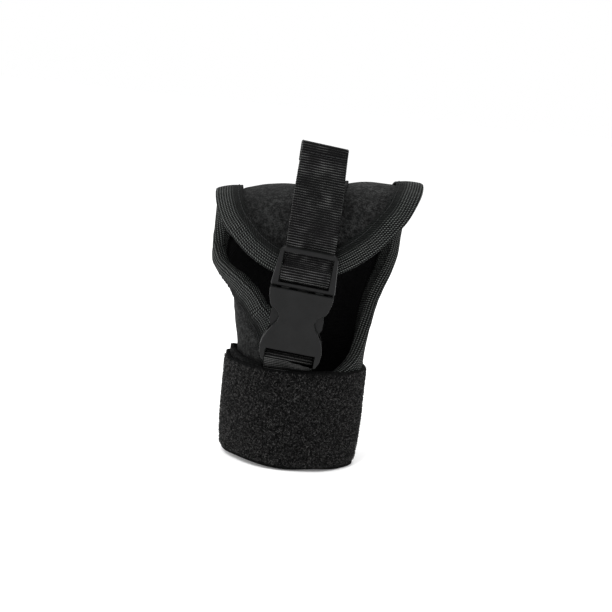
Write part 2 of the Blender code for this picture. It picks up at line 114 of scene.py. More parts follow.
FRAME_LENGTH = 0.0205
FRAME_THICKNESS = 0.005
SOCKET_LENGTH = 0.0375
SOCKET_THICKNESS = 0.0086
SLOT_BAR = 0.0022
BAR_SET_BACK = 0.26
RIB_PITCH = 0.0012

# %% [markdown]
# The panel is described by its sections, from the hem up the back, over the crown and down to the
# flap's tip. Each row of the table is one section, in shares of the sizes above. A table of sixteen
# rows with a smooth curve through each column gives a whole sewn panel without a list of points.

# %% The panel's sections
WRIST_SHARE = 0.643
SECTION_COLUMNS = ("along", "back", "height", "width", "depth", "left", "right", "fist")
SECTIONS = np.array((
    (0.000, 0.700, -0.188, 0.605, 0.94, 176, 150, 0.00),
    (0.110, 0.746, 0.018, 0.643, 1.00, 175, 147, 0.00),
    (0.201, 0.750, 0.188, 0.643, 1.00, 172, 138, 0.00),
    (0.240, 0.765, 0.262, 0.645, 1.01, 164, 108, 0.04),
    (0.311, 0.854, 0.393, 0.705, 1.08, 143, 80, 0.35),
    (0.370, 0.934, 0.502, 0.791, 1.08, 128, 72, 0.65),
    (0.416, 0.979, 0.585, 0.900, 1.02, 120, 65, 0.85),
    (0.457, 1.000, 0.662, 0.975, 0.90, 110, 61, 1.00),
    (0.511, 0.985, 0.765, 1.000, 0.72, 97, 60, 1.00),
    (0.562, 0.866, 0.855, 1.010, 0.52, 85, 61, 1.00),
    (0.626, 0.582, 0.944, 1.030, 0.28, 76, 65, 1.00),
    (0.708, 0.090, 1.000, 1.052, 0.10, 72, 72, 1.00),
    (0.795, -0.500, 0.962, 1.052, 0.26, 72, 72, 1.00),
    (0.872, -0.880, 0.863, 1.052, 0.48, 72, 72, 1.00),
    (0.938, -0.985, 0.752, 1.052, 0.60, 72, 72, 1.00),
    (1.000, -1.000, 0.639, 1.052, 0.58, 72, 72, 1.00),
))
THREADING = np.array((
    (0.92, -0.74), (0.70, -0.74), (0.42, -0.73), (0.25, -0.60), (0.188, -0.28), (0.188, 0.14),
    (0.25, 0.44), (0.38, 0.53), (0.50, 0.36), (0.57, -0.04), (0.68, -0.28), (0.92, -0.30), (1.10, -0.28),
))


def smooth(x, xs, ys):
    """A cubic through the points of a table: each slope is taken from the row's neighbours."""
    slopes = np.gradient(ys, xs)
    i = np.clip(np.searchsorted(xs, x, side="right") - 1, 0, len(xs) - 2)
    span = xs[i + 1] - xs[i]
    t = np.clip((x - xs[i]) / span, 0, 1)
    rise = ys[i + 1] - ys[i]
    a, b = slopes[i] * span, slopes[i + 1] * span
    return ys[i] + t * a + t * t * (3 * rise - 2 * a - b) + t ** 3 * (a + b - 2 * rise)


def ease(x, start, end):
    """Rises smoothly from 0 to 1 between start and end: 3t squared less 2t cubed."""
    t = np.clip((x - start) / (end - start), 0, 1)
    return t * t * (3 - 2 * t)


def section(along):
    """Each named column of the table at shares of the panel's length, in metres and radians."""
    read = {name: smooth(along, SECTIONS[:, 0], SECTIONS[:, k]) for k, name in enumerate(SECTION_COLUMNS)}
    narrow = np.clip(1 - read["fist"], 0, 1)
    wrist = WRIST_HALF_WIDTH / WRIST_SHARE
    return {
        "back": read["back"] * FIST_BACK,
        "height": read["height"] * FIST_HEIGHT,
        "width": read["width"] * (narrow * wrist + (1 - narrow) * FIST_HALF_WIDTH),
        "depth": read["depth"] * WRIST_HALF_DEPTH,
        "left": np.radians(read["left"]),
        "right": np.radians(read["right"]),
        "fist": read["fist"],
    }


def panel_point(across, along):
    """The panel's outer face. The spine is a curve in the plane x = 0. At each place an arc of an
    ellipse leaves it to both sides: out by width times the sine of the turn, and sunk along the
    spine's normal by depth times one less the cosine."""
    across, along = np.broadcast_arrays(np.asarray(across, float), np.asarray(along, float))
    here, step = section(along), 0.002
    before, after = section(np.clip(along - step, 0, 1)), section(np.clip(along + step, 0, 1))
    run_y, run_z = after["back"] - before["back"], after["height"] - before["height"]
    length = np.hypot(run_y, run_z)
    turn = (here["right"] - here["left"]) / 2 + across * (here["right"] + here["left"]) / 2
    out = here["width"] * np.sin(turn)
    sunk = here["depth"] * (1 - np.cos(turn))
    x = FIST_SHIFT * here["fist"] + out
    y = here["back"] - sunk * run_z / length
    z = here["height"] + sunk * run_y / length + math.tan(FIST_TILT) * here["fist"] * out
    return np.stack([x, y, z], axis=-1)


def panel_frame(across, along):
    """The outer face's point, its slopes both ways, and the normal, which is their cross product."""
    step = 0.003
    point = panel_point(across, along)
    slope_across = (panel_point(across + step, along) - panel_point(across - step, along)) / (2 * step)
    upper, lower = np.clip(along + step, 0, 1), np.clip(along - step, 0, 1)
    slope_along = (panel_point(across, upper) - panel_point(across, lower)) / (upper - lower)[..., None]
    normal = np.cross(slope_along, slope_across)
    normal /= np.linalg.norm(normal, axis=-1, keepdims=True)
    return point, slope_across, slope_along, normal


def across_at(share):
    """The place across the section of a share of the crown's half width."""
    return np.arcsin(np.clip(share, -1, 1) * math.sin(CROWN_ANGLE)) / CROWN_ANGLE


print("panel spans", panel_point(np.array([-1, 1]), CROWN_SHARE).round(4).tolist())

# %% [markdown]
# ## Meshes from grids
# A surface of two parameters is a grid of points. Neighbouring points make quads, and a chart in
# metres goes with them as the UV map, so that a weave drawn in it keeps its real size on a fold.


# %% Grid helpers
def grid_piece(name, points, chart, shade, closed_rows=False, closed_columns=False):
    """An object from points[row, column] and its chart, joined round where a direction is closed."""
    index = np.arange(points.shape[0] * points.shape[1]).reshape(points.shape[:2])
    if closed_rows:
        index = np.concatenate([index, index[:1]])
    if closed_columns:
        index = np.concatenate([index, index[:, :1]], axis=1)
    quads = np.stack([index[:-1, :-1], index[1:, :-1], index[1:, 1:], index[:-1, 1:]], axis=-1).reshape(-1, 4)
    charts = np.stack([chart[:-1, :-1], chart[1:, :-1], chart[1:, 1:], chart[:-1, 1:]], axis=-2)
    return quad_piece(name, points.reshape(-1, 3), quads, charts.reshape(-1, 2), shade)


def quad_piece(name, points, quads, charts, shade):
    """An object from points, quads of indices, and one chart point for each corner of each quad."""
    mesh = bpy.data.meshes.new(name)
    mesh.vertices.add(len(points))
    mesh.vertices.foreach_set("co", points.astype(np.float32).ravel())
    mesh.loops.add(quads.size)
    mesh.loops.foreach_set("vertex_index", quads.astype(np.int32).ravel())
    mesh.polygons.add(len(quads))
    mesh.polygons.foreach_set("loop_start", np.arange(0, quads.size, 4, dtype=np.int32))
    mesh.polygons.foreach_set("use_smooth", np.ones(len(quads), bool))
    mesh.update(calc_edges=True)
    layer = mesh.uv_layers.new(name="chart")
    layer.uv.foreach_set("vector", charts.astype(np.float32).ravel())
    mesh.validate()
    mesh.materials.append(shade)
    made = bpy.data.objects.new(name, mesh)
    bpy.context.scene.collection.objects.link(made)
    return made


def wall(piece, thickness, offset, lining=None):
    """Gives an open surface its wall, and its inner face a lining where one is given."""
    solid = piece.modifiers.new("wall", "SOLIDIFY")
    solid.thickness, solid.offset = thickness, offset
    solid.use_even_offset = False
    if lining is not None:
        piece.data.materials.append(lining)
        solid.material_offset = 1
        solid.material_offset_rim = 1
    return piece


def normals_of(points):
    """Unit normals of a grid: the cross product of its two gradients."""
    normal = np.cross(np.gradient(points, axis=0), np.gradient(points, axis=1))
    return normal / np.linalg.norm(normal, axis=-1, keepdims=True)


def run_of(path):
    """Distance along a path from its first point."""
    return np.concatenate([[0], np.cumsum(np.linalg.norm(np.diff(path, axis=0), axis=-1))])


def ripple(u, v, size, seed):
    """Soft random waves: random heights on a lattice of that size, joined by eased steps."""
    table = np.random.default_rng(seed).uniform(-1, 1, (64, 64))
    i, j = np.floor(u / size).astype(int), np.floor(v / size).astype(int)
    a, b = ease(u / size - i, 0, 1), ease(v / size - j, 0, 1)
    low = table[i % 64, j % 64] * (1 - a) + table[(i + 1) % 64, j % 64] * a
    high = table[i % 64, (j + 1) % 64] * (1 - a) + table[(i + 1) % 64, (j + 1) % 64] * a
    return low * (1 - b) + high * b


# %% [markdown]
# ## Shader maths as expressions
# A pattern such as a weave is a formula. One small class wraps a shader socket, so that the formula
# can be written with plus and times, and the Math nodes are added as it is read.


# %% The socket wrapper
class Signal:
    """A shader socket that can be added, multiplied and passed on."""

    def __init__(self, tree, socket=None):
        self.tree, self.socket = tree, socket

    def node(self, kind, settings=None, inputs=None, out=0):
        """Adds a node: its settings first, then the values or links of its sockets."""
        made = self.tree.nodes.new(kind)
        for name, value in (settings or {}).items():
            if name == "stops":
                while len(made.color_ramp.elements) < len(value):
                    made.color_ramp.elements.new(1.0)
                for element, (place, shade) in zip(made.color_ramp.elements, value):
                    element.position, element.color = place, (*shade, 1.0)
            else:
                setattr(made, name, value)
        for name, value in (inputs or {}).items():
            if isinstance(value, Signal):
                self.tree.links.new(value.socket, made.inputs[name])
            else:
                made.inputs[name].default_value = value
        return Signal(self.tree, made.outputs[out])

    def maths(self, operation, other=0.0, first=None):
        """One Math node on this signal and another value."""
        inputs = {0: self if first is None else first, 1: other}
        return self.node("ShaderNodeMath", {"operation": operation}, inputs)

    def __add__(self, other):
        return self.maths("ADD", other)

    def __mul__(self, other):
        return self.maths("MULTIPLY", other)

    def __sub__(self, other):
        return self.maths("SUBTRACT", other)

    def __rsub__(self, other):
        return self.maths("SUBTRACT", self, first=other)

    def __pow__(self, other):
        return self.maths("POWER", other)

    __radd__ = __add__
    __rmul__ = __mul__

    def wave(self, pitch, shift=0.0):
        """A wave from 0 to 1 that repeats at each pitch."""
        return ((self + shift) * (2 * math.pi / pitch)).maths("COSINE") * 0.5 + 0.5

    def held(self, low=0.0, high=1.0):
        """The signal stretched so that low is 0 and high is 1, and held between."""
        settings = {"interpolation_type": "SMOOTHSTEP"}
        return self.node("ShaderNodeMapRange", settings, {"Value": self, "From Min": low, "From Max": high})


def noise(start, scale, detail=2.0, rough=0.6):
    """Fine random grain in the object's own metres."""
    place = start.node("ShaderNodeTexCoord", out="Object")
    inputs = {"Vector": place, "Scale": scale, "Detail": detail, "Roughness": rough}
    return start.node("ShaderNodeTexNoise", None, inputs)


def blend_colours(mask, dark, light):
    """A colour between two, by a mask."""
    settings = {"data_type": "RGBA"}
    return mask.node("ShaderNodeMix", settings, {"Factor": mask, 6: (*dark, 1), 7: (*light, 1)}, out=2)


def material(name, paint, sheen=0.0, specular=0.5):
    """A Principled material. paint(start) gives base colour, roughness, height and its depth."""
    made = bpy.data.materials.new(name)
    made.use_nodes = True
    tree = made.node_tree
    shader = tree.nodes["Principled BSDF"]
    colour, rough, height, depth = paint(Signal(tree))
    tree.links.new(colour.socket, shader.inputs["Base Color"])
    tree.links.new(rough.socket, shader.inputs["Roughness"])
    bump = height.node("ShaderNodeBump", None, {"Height": height, "Distance": depth, "Strength": 1.0})
    tree.links.new(bump.socket, shader.inputs["Normal"])
    shader.inputs["Sheen Weight"].default_value = sheen
    shader.inputs["Sheen Roughness"].default_value = 0.5
    shader.inputs["Specular IOR Level"].default_value = specular
    return made


def chart(start):
    """The two chart distances of a piece, in metres: across, then along."""
    places = start.node("ShaderNodeUVMap", {"uv_map": "chart"})
    split = start.node("ShaderNodeSeparateXYZ", None, {"Vector": places})
    along = Signal(start.tree, split.socket.node.outputs[1])
    return split, along


# %% [markdown]
# ## Cloths and plastic
# The padded cloth is brushed, so short lighter fibres lie over a dark ground. The binding is a
# twill tape whose outer half shows rows of bright threads. The webbing has a rib at each weft, with
# a painted highlight on each crest and painted shade between, and the buckle is a satin moulding
# with faint mottling. Each is a formula in metres.


# %% Brushed cloth and its lining
def paint_cloth(start):
    """Fibre grain at two sizes, brighter where both are high."""
    fine, coarse, broad = noise(start, 1500, 3.0), noise(start, 520, 2.0), noise(start, 45, 2.0)
    fibre = (fine * 0.6 + coarse * 0.4).held(0.40, 0.66)
    mask = fibre * (broad.held(0.30, 0.75) * 0.5 + 0.5)
    colour = blend_colours(mask, (0.0025, 0.0027, 0.0027), (0.032, 0.0325, 0.0322))
    return colour, fibre * -0.1 + 0.95, fine * 0.5 + coarse, 0.00035


def paint_lining(start):
    """A plain knit: small loops in rows, on a very dark ground."""
    across, along = chart(start)
    loops = across.wave(0.0009) * along.wave(0.0007)
    colour = blend_colours(loops, (0.003, 0.003, 0.0032), (0.010, 0.010, 0.0105))
    return colour, loops * -0.05 + 0.92, loops, 0.0002


brushed_cloth = material("brushed_cloth", paint_cloth, sheen=0.02, specular=0.06)
knit_lining = material("knit_lining", paint_lining, specular=0.05)


# %% Binding tape
def paint_tape(start):
    """Ribs along the tape with a dot at each thread, strong near the fold and faint further in."""
    across, along = chart(start)
    outer = 1 - across.held(0.0045, 0.0088)
    rib = across.wave(0.00118)
    slant = along + across * 0.9
    dots = (slant.wave(0.00115) ** 2.0) * (noise(start, 700, 1.0) * 1.6 + 0.25)
    thread = (rib * dots).held(0.10, 0.75)
    twill = slant.wave(0.0013) * 0.35
    mask = thread * outer + twill * (1 - outer) * noise(start, 900, 1.0)
    colour = blend_colours(mask.held(0.0, 1.0), (0.0012, 0.0016, 0.0014), (0.100, 0.107, 0.102))
    return colour, mask * -0.15 + 0.85, rib * 0.7 + dots * 0.5, 0.00042


binding_tape = material("binding_tape", paint_tape, specular=0.08)


# %% Webbing, loop pile and plastic
def paint_webbing(start):
    """Each rib is painted light on its crest, a painted highlight, and nearly black between, painted shade;
    fine warp threads cross it.
    """
    across, along = chart(start)
    wavy = along + noise(start, 160, 1.0) * 0.0005
    crest = wavy.wave(RIB_PITCH)
    warp = (across + along * 0.12).wave(0.0009) * (noise(start, 800, 1.0) * 0.8 + 0.5)
    # The light crest is a painted highlight and the near black between ribs is painted shade; the warp
    # threads are the webbing's own weave.
    mask = (crest ** 4.0) * (warp * 0.4 + 0.5)
    colour = blend_colours(mask.held(0.03, 0.80), (0.0008, 0.0008, 0.0009), (0.105, 0.106, 0.104))
    return colour, mask * -0.15 + 0.78, warp * 0.4 + crest * 0.3, 0.0002


def paint_pile(start):
    """Tangled loops: bright specks where two grains meet, dark holes between."""
    across, _ = chart(start)
    fine, coarse = noise(start, 1500, 2.0), noise(start, 900, 2.0)
    tangle = (fine * 0.5 + coarse * 0.5).held(0.45, 0.60)
    woven_edge = across.maths("ABSOLUTE").held(STRAP_WIDTH * 0.472, STRAP_WIDTH * 0.482)
    colour = blend_colours(tangle * (1 - woven_edge * 0.75), (0.0010, 0.0011, 0.0011), (0.011, 0.011, 0.011))
    return colour, tangle * -0.1 + 0.95, fine * 0.6 + coarse, 0.0006


def paint_loops(start):
    """Single nylon loops, each a little lighter or darker than the next."""
    shade = noise(start, 900, 1.0).held(0.35, 0.70)
    colour = blend_colours(shade, (0.0020, 0.0020, 0.0021), (0.062, 0.061, 0.060))
    return colour, shade * -0.2 + 0.7, shade, 0.0001


def paint_plastic(start):
    """A satin moulding: a faint orange-peel surface and slightly mottled gloss."""
    peel, mottle = noise(start, 900, 2.0), noise(start, 120, 3.0)
    colour = blend_colours(mottle.held(0.3, 0.7), (0.0045, 0.0046, 0.0047), (0.0065, 0.0066, 0.0067))
    return colour, mottle * 0.10 + 0.30, peel, 0.00006


ribbed_webbing = material("ribbed_webbing", paint_webbing, specular=0.10)
loop_pile = material("loop_pile", paint_pile, specular=0.04)
pile_loops = material("pile_loops", paint_loops, specular=0.15)
satin_plastic = material("satin_plastic", paint_plastic, specular=0.13)
print("materials:", len(bpy.data.materials))

# %% [markdown]
# ## The padded panel
# The panel is laminated foam, 3 mm thick. A cloth simulation would need it remeshed at 4 to 6 mm,
# which is thicker than the panel, so its padding is shaped directly: it is pinched along the
# binding, held flat under the strap, and swells a little between them.


# %% Places on the panel
def panel_places(rows, flap_rows, columns):
    """Straight rows up to the crown, then rows bent round so that the flap's end is an arc."""
    share = np.sin(np.linspace(-math.pi / 2, math.pi / 2, columns + 1))
    body = np.linspace(0, CROWN_SHARE, rows + 1)
    u, v = np.meshgrid(share, np.linspace(0, 1, flap_rows + 1)[1:])
    across = np.concatenate([np.tile(across_at(share), (rows + 1, 1)), across_at(u * np.sqrt(1 - v * v / 2))])
    bent = CROWN_SHARE + (1 - CROWN_SHARE) * v * np.sqrt(1 - u * u / 2)
    return across, np.concatenate([np.tile(body[:, None], (1, columns + 1)), bent])


def edge_places(spacing):
    """Evenly spaced places along the bound edge: up the left, round the flap, down the right."""
    side = np.linspace(0, CROWN_SHARE, 400)
    angle = np.linspace(math.pi, 0, 600)[1:-1]
    across = np.concatenate([-np.ones(400), across_at(np.cos(angle)), np.ones(400)])
    along = np.concatenate([side, CROWN_SHARE + (1 - CROWN_SHARE) * np.sin(angle), side[::-1]])
    run = run_of(panel_point(across, along))
    wanted = np.linspace(0, run[-1], int(run[-1] / spacing))
    return np.interp(wanted, run, across), np.interp(wanted, run, along), wanted


def distance_to_edge(points):
    """How far each point is from the bound edge, straight through the air."""
    across, along, _ = edge_places(0.0016)
    edge = panel_point(across, along)
    flat = points.reshape(-1, 3)
    squared = (flat ** 2).sum(1)[:, None] + (edge ** 2).sum(1)[None] - 2 * flat @ edge.T
    return np.sqrt(np.clip(squared.min(1), 0, None)).reshape(points.shape[:2])


# %% The glove's body
PANEL_GRID = (150, 56, 110)
SWELL, PINCH, WAVES = 0.0011, 0.0005, 0.00045


def padded_panel():
    """The panel's outer face, swollen along its normal by its padding, with its wall behind."""
    across, along = panel_places(*PANEL_GRID)
    point, _, _, normal = panel_frame(across, along)
    inside = distance_to_edge(point) - BINDING_WIDTH
    run_across = np.cumsum(np.linalg.norm(np.diff(point, axis=1, prepend=point[:, :1]), axis=-1), axis=1)
    run_along = np.tile((along * PANEL_LENGTH).mean(1)[:, None], (1, point.shape[1]))
    beside_strap = 1 - np.exp(-((point[..., 0] - 0.004) / 0.0155) ** 4)
    above_cuff = ease(point[..., 2], 0.030, 0.045)
    swell = SWELL * ease(inside, 0.0, 0.014) * beside_strap * above_cuff
    pinch = -PINCH * np.exp(-((inside - 0.0006) / 0.0014) ** 2)
    waves = WAVES * ripple(run_across, run_along, 0.017, 4) * ease(inside, 0.002, 0.012)
    height = swell + pinch + waves * beside_strap * above_cuff
    made = grid_piece("padded_panel", point + normal * height[..., None],
                      np.stack([run_across, run_along], axis=-1), brushed_cloth)
    return wall(made, PANEL_WALL, -1, knit_lining)


panel = padded_panel()
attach(panel, "root")
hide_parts("glove_body")
print("panel faces:", len(panel.data.polygons))

# %% [markdown]
# ## The bound edge
# A tape folded over a raw edge hides it and keeps the laminate together. It is a profile carried
# along the edge: in from the edge on the outer face, round the fold, and in again on the inner
# face. Marching inward on the surface itself keeps its width true where the edge curves.


# %% Marching in from the edge
def march_inward(across, along, distance, steps=6):
    """Moves places inward from the edge by a distance on the face. Each step solves the two slopes'
    equations for the step that has the right length along the inward direction."""
    point, _, _, normal = panel_frame(across, along)
    inward = np.cross(normal, np.gradient(point, axis=0))
    inward /= np.linalg.norm(inward, axis=-1, keepdims=True)
    for _ in range(steps if distance else 0):
        _, slope_u, slope_v, _ = panel_frame(across, along)
        uu, vv = (slope_u * slope_u).sum(-1), (slope_v * slope_v).sum(-1)
        uv = (slope_u * slope_v).sum(-1)
        du, dv = (slope_u * inward).sum(-1), (slope_v * inward).sum(-1)
        scale = distance / steps / (uu * vv - uv * uv)
        across = across + scale * (du * vv - dv * uv)
        along = np.clip(along + scale * (dv * uu - du * uv), 0, 1)
    return across, along, inward


def raised(across, along, distance, lift):
    """Points at a distance in from the edge and at a height over the outer face."""
    place_across, place_along, _ = march_inward(across, along, distance)
    point, _, _, normal = panel_frame(place_across, place_along)
    return point + normal * np.broadcast_to(lift, place_across.shape)[..., None]


# %% The folded tape
def folded_tape(name, across, along, run):
    """The tape's inner face, row by row across the fold, with a chart that starts at the fold."""
    rows, places = [], []
    puckers = 0.00016 * ripple(run, run * 0, 0.0035, 8)
    for share in np.linspace(1, 0, 13):
        crown = 0.0004 * math.sin(math.pi * min(1.0, share * 1.05)) + 0.0001
        rows.append(raised(across, along, BINDING_WIDTH * share, BINDING_LIFT + crown + puckers))
        places.append(BINDING_WIDTH * share)
    point, _, _, normal = panel_frame(across, along)
    _, _, inward = march_inward(across, along, 0.0)
    middle, half = (BINDING_LIFT - BINDING_DROP) / 2, (BINDING_LIFT + BINDING_DROP) / 2
    for turn in np.linspace(math.pi / 2, -math.pi / 2, 9)[1:-1]:
        outward = -inward * (BINDING_GAP + 0.0004 * math.cos(turn))
        rows.append(point + normal * (middle + half * math.sin(turn)) + outward)
        places.append(-half * (math.pi / 2 - turn) * 0.8)
    for share in np.linspace(0, 0.62, 6):
        rows.append(raised(across, along, BINDING_WIDTH * share, -BINDING_DROP))
        places.append(-2 * half - BINDING_WIDTH * share)
    points = np.stack(rows[::-1], axis=1)
    across_chart = np.tile(np.array(places[::-1]), (len(run), 1))
    along_chart = np.tile(run[:, None], (1, len(rows)))
    made = grid_piece(name, points, np.stack([across_chart, along_chart], axis=-1), binding_tape)
    return wall(made, BINDING_WALL, 1)


edge_across, edge_along, edge_run = edge_places(0.0011)
edge_tape = folded_tape("edge_tape", edge_across, edge_along, edge_run)
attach(edge_tape, "root")
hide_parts("edge_binding")

low = section(np.zeros(1))
half_girth = (low["left"] + low["right"])[0] / 2 * (WRIST_HALF_WIDTH + WRIST_HALF_DEPTH) / 2
hem_across = np.linspace(1, -1, 160) * (1 - HEM_INSET / half_girth)
hem_along = np.zeros(len(hem_across))
hem_tape = folded_tape("hem_tape", hem_across, hem_along, run_of(panel_point(hem_across, hem_along)))
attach(hem_tape, "root")
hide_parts("hem_binding")
print("tape length:", round(float(edge_run[-1]), 3), "m")

# %% [markdown]
# A row of lock stitches holds the tape. A stitch is a short thread that dives at both ends, and
# one small profile repeated along the edge is enough.


# %% Stitches
STITCH_SPACING = 0.0027
STITCH_LENGTH = 0.0021
STITCH_THICKNESS = 0.00035


def stitches(name, centres, ways, ups, length, thickness, shade):
    """Short threads: each is a half ring of length by thickness that sinks at both ends."""
    turn, round_ = np.meshgrid(np.linspace(0, math.pi, 6), np.linspace(0, 2 * math.pi, 6)[:-1], indexing="ij")
    sides = np.cross(ways, ups)
    run = -np.cos(turn) * length / 2
    rise = np.sin(turn) * thickness * 0.9 - thickness * 0.5
    swell = thickness / 2 * (0.35 + 0.65 * np.sin(turn))
    points = (
        centres[:, None, None]
        + ways[:, None, None] * run[None, :, :, None]
        + ups[:, None, None] * (rise + swell * np.cos(round_))[None, :, :, None]
        + sides[:, None, None] * (swell * np.sin(round_))[None, :, :, None]
    )
    one = np.arange(30).reshape(6, 5)
    ring = np.concatenate([one, one[:, :1]], axis=1)
    quads = np.stack([ring[:-1, :-1], ring[1:, :-1], ring[1:, 1:], ring[:-1, 1:]], axis=-1).reshape(-1, 4)
    every = (quads[None] + 30 * np.arange(len(centres))[:, None, None]).reshape(-1, 4)
    charts = np.tile(np.array([[0, 0], [0, 1], [1, 1], [1, 0]]) * thickness, (len(every), 1))
    return quad_piece(name, points.reshape(-1, 3), every, charts, shade)


def paint_thread(start):
    """Spun thread: a little lighter where its grain is high."""
    grain = noise(start, 1400, 1.0)
    colour = blend_colours(grain, (0.006, 0.006, 0.0065), (0.030, 0.031, 0.031))
    return colour, grain * -0.1 + 0.8, grain, 0.00005


thread = material("sewing_thread", paint_thread, specular=0.1)


def unit(vectors):
    """Vectors of length one."""
    return vectors / np.linalg.norm(vectors, axis=-1, keepdims=True)


stitch_across, stitch_along, _ = edge_places(STITCH_SPACING)
stitch_inset = BINDING_WIDTH * 0.86
on_tape = raised(stitch_across, stitch_along, stitch_inset, BINDING_LIFT + BINDING_WALL + 0.0003)
_, _, _, tape_up = panel_frame(*march_inward(stitch_across, stitch_along, stitch_inset)[:2])
along_tape = unit(np.gradient(on_tape, axis=0))
edge_stitches = stitches(
    "edge_stitches", on_tape, along_tape, tape_up, STITCH_LENGTH, STITCH_THICKNESS, thread
)
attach(edge_stitches, "root")
print("stitches along the edge:", len(on_tape))

# %% [markdown]
# ## The wrist strap
# A wide strap is wound one and a half times round the wrist, loop side out. Its woven edge is
# smooth and thin, and the pile between is a tangle of nylon loops. The band is a spiral of an
# ellipse; the loops are small arcs, thousands of them, each with only a few faces.


# %% The band
SMALL_LUMPS, BROAD_LUMPS = 0.00018, 0.00025
EDGE_WAVE = 0.0009


def strap_offset(angle):
    """How far the strap's middle lies outside the wrist: the turns below it, and the webbing."""
    turns = ease(angle, 2 * math.pi + STRAP_START - math.radians(40), 2 * math.pi + STRAP_START)
    stack = 2 * ANCHOR_WALL + 2 * WEB_GAP
    bulge = stack * np.exp(-((np.sin(angle / 2) / math.sin(math.radians(21))) ** 4))
    return BINDING_WALL + 2 * BINDING_GAP + STRAP_WALL / 2 + turns * (STRAP_WALL + STRAP_GAP) + bulge


def strap_point(angle, across, lift=0.0):
    """A point of the strap: an ellipse widened by the offset, and a place up its width."""
    offset = strap_offset(angle) + lift - STRAP_TAPER * np.clip(-2 * across, 0, 1) ** 2
    rise = STRAP_RISE * np.exp(-((angle - math.radians(80)) / math.radians(38)) ** 2)
    corner = np.exp(-((np.sin((angle - math.radians(62)) / 2) / math.sin(math.radians(24))) ** 4))
    rise = rise + STRAP_CORNER * corner * np.clip(-2 * across, 0, 1) ** 2
    x = -(WRIST_HALF_WIDTH + offset) * np.sin(angle)
    y = -(WRIST_HALF_DEPTH + offset) * np.cos(angle)
    z = STRAP_CENTRE + rise + STRAP_WIDTH * across + 0 * angle
    return np.stack(np.broadcast_arrays(x, y, z), axis=-1)


def wrist_band():
    """The band's middle, bulged by its pile inside its smooth woven edges."""
    angle = np.linspace(STRAP_START, STRAP_START + STRAP_TURN, 420)[:, None]
    across = np.linspace(-0.5, 0.5, 71)[None, :]
    run = angle * (WRIST_HALF_WIDTH + WRIST_HALF_DEPTH) / 2
    pile = ease(0.5 - np.abs(across), 0.020, 0.050)
    u, v = np.broadcast_arrays(run, across * STRAP_WIDTH)
    lumps = SMALL_LUMPS * ripple(u, v, 0.0016, 2) + BROAD_LUMPS * ripple(u, v, 0.009, 3)
    outer = ease(angle, STRAP_START + STRAP_TURN - 2.1 * math.pi, STRAP_START + STRAP_TURN - 2.0 * math.pi)
    edge_wave = EDGE_WAVE / STRAP_WIDTH * ripple(u, v * 0, 0.014, 6)
    lift = (0.0002 + lumps) * pile * (0.3 + 0.7 * outer)
    points = strap_point(angle, across + edge_wave * np.abs(across) * 2, lift)
    made = grid_piece("wrist_band", points, np.stack([v, u], axis=-1), loop_pile)
    return wall(made, STRAP_WALL, 0)


band = wrist_band()
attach(band, "root")
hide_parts("wrist_strap")


# %% The pile's loops
LOOPS_EACH = 8000
LOOP_RADIUS = 0.000085


def pile(name, count, seed):
    """Loops that stand on the strap: each an arc in a random upright plane, tilted a little, with a
    three-sided thread round it."""
    random = np.random.default_rng(seed)
    angle = STRAP_START + STRAP_TURN - random.uniform(0, 2 * math.pi, count)
    across = random.uniform(-0.472, 0.472, count)
    foot = strap_point(angle, across, STRAP_WALL / 2 + 0.0002)
    over = strap_point(angle, across, STRAP_WALL / 2 + 0.0012)
    up = unit(over - foot)
    spin = random.uniform(0, 2 * math.pi, count)[:, None]
    east = unit(np.cross(up, np.array([0.0, 0.0, 1.0])))
    north = np.cross(up, east)
    way = east * np.cos(spin) + north * np.sin(spin)
    side = np.cross(way, up)
    lean = random.uniform(-0.9, 0.9, count)[:, None]
    tall = unit(up + side * lean)
    wide, high = random.uniform(0.00028, 0.0006, count), random.uniform(0.0003, 0.00075, count)
    arc, sides = np.linspace(-0.25, math.pi + 0.25, 5), np.arange(3) * 2 * math.pi / 3
    turn, round_ = np.meshgrid(arc, sides, indexing="ij")
    radius = LOOP_RADIUS
    spread = np.cos(turn)[None] * (wide[:, None, None] + radius * np.cos(round_)[None])
    rise = np.sin(turn)[None] * (high[:, None, None] + radius * np.cos(round_)[None])
    swing = np.broadcast_to(radius * np.sin(round_)[None], spread.shape)
    flank = np.cross(way, tall)
    points = (
        foot[:, None, None]
        + way[:, None, None] * spread[..., None]
        + tall[:, None, None] * rise[..., None]
        + flank[:, None, None] * swing[..., None]
    )
    one = np.arange(15).reshape(5, 3)
    ring = np.concatenate([one, one[:, :1]], axis=1)
    quads = np.stack([ring[:-1, :-1], ring[:-1, 1:], ring[1:, 1:], ring[1:, :-1]], axis=-1).reshape(-1, 4)
    every = (quads[None] + 15 * np.arange(count)[:, None, None]).reshape(-1, 4)
    charts = np.tile(np.array([[0, 0], [1, 0], [1, 1], [0, 1]]) * radius, (len(every), 1))
    return quad_piece(name, points.reshape(-1, 3), every, charts, pile_loops)


for number in (1, 2):
    loops = pile(f"pile_loops_{number}", LOOPS_EACH, 20 + number)
    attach(loops, "root")
print("loops on the strap:", 2 * LOOPS_EACH)

# %% [markdown]
# ## Ribbed webbing
# Heavy webbing shows one rib for each weft. The ribs are real waves in the surface here, because
# they break up the outline of the strap's edges and catch the light from every side.


# %% Ribs on a strip
RIB_HEIGHT = 0.0003


